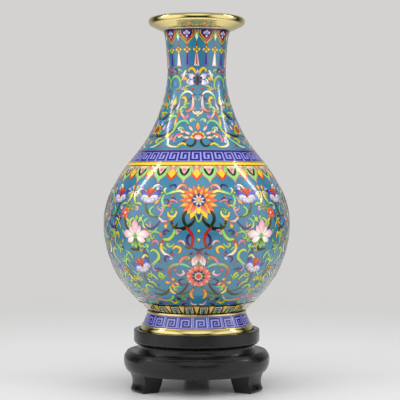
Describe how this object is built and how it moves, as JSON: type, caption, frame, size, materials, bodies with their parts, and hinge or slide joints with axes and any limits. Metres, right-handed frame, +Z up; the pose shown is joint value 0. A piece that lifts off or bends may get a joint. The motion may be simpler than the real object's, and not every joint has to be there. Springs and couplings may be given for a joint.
{
  "type": "cloisonne vase",
  "caption": "Bottle-shaped cloisonne enamel vase with gilt rims, seated in the round recess of a three-legged black wooden stand.",
  "frame": {"origin": "on the floor plane under the vase's axis, at the centre of the stand", "axes": "+Z up along the vase's axis; the front of the pattern faces -Y; one leg of the stand is at +Y, at the back"},
  "size_m": [0.2261, 0.226, 0.4473],
  "materials": {
    "copper": "raw beaten copper, inside the wall",
    "gilt": "polished gilt",
    "enamel_turquoise": "polished cloisonne enamel",
    "enamel_lavender": "polished cloisonne enamel",
    "enamel_yellow": "polished cloisonne enamel",
    "enamel_green": "polished cloisonne enamel",
    "counter_enamel": "plain glossy enamel",
    "lacquered_wood": "satin black lacquer",
    "raw_wood": "bare hardwood",
    "screw_steel": "zinc plated",
    "felt": "black wool felt"
  },
  "bodies": {
    "stand": {"stand_seat": "lacquered_wood", "stand_waist": "lacquered_wood", "stand_apron": "lacquered_wood", "leg_right": "lacquered_wood", "leg_back": "lacquered_wood", "leg_left": "lacquered_wood", "leg_dowels": "raw_wood", "layer_screws": "screw_steel"},
    "seat_pad": {"felt_seat_pad": "felt"},
    "vase": {"copper_neck": "copper", "copper_shoulder": "copper", "copper_lower_belly": "copper", "copper_foot_skirt": "copper", "copper_floor_plate": "copper", "enamel_foot_lappets": "enamel_green", "enamel_belly_field": "enamel_turquoise", "enamel_ruyi_border": "enamel_turquoise", "enamel_shoulder_strip": "enamel_yellow", "enamel_shoulder_fret": "enamel_lavender", "enamel_neck_field": "enamel_turquoise", "enamel_tassel_band": "enamel_turquoise", "enamel_mouth_border": "enamel_turquoise", "enamel_foot_fret": "enamel_lavender", "enamel_inner_lining": "counter_enamel", "enamel_inner_floor": "counter_enamel", "enamel_base": "counter_enamel", "wire_lappets": "gilt", "wire_belly": "gilt", "wire_ruyi": "gilt", "wire_strip": "gilt", "wire_shoulder": "gilt", "wire_rim": "gilt", "gilt_foot_junction_ring": "gilt", "gilt_foot_ring": "gilt", "gilt_mouth_rim": "gilt"}
  },
  "joints": [
    {"name": "vase_turn", "type": "hinge", "parent": "stand", "child": "seat_pad", "pos_m": [0, 0, 0.0663], "axis": [0, 0, 1], "continuous": true},
    {"name": "vase_lift", "type": "slide", "parent": "seat_pad", "child": "vase", "axis": [0, 0, 1], "range_m": [0, 0.12]}
  ]
}
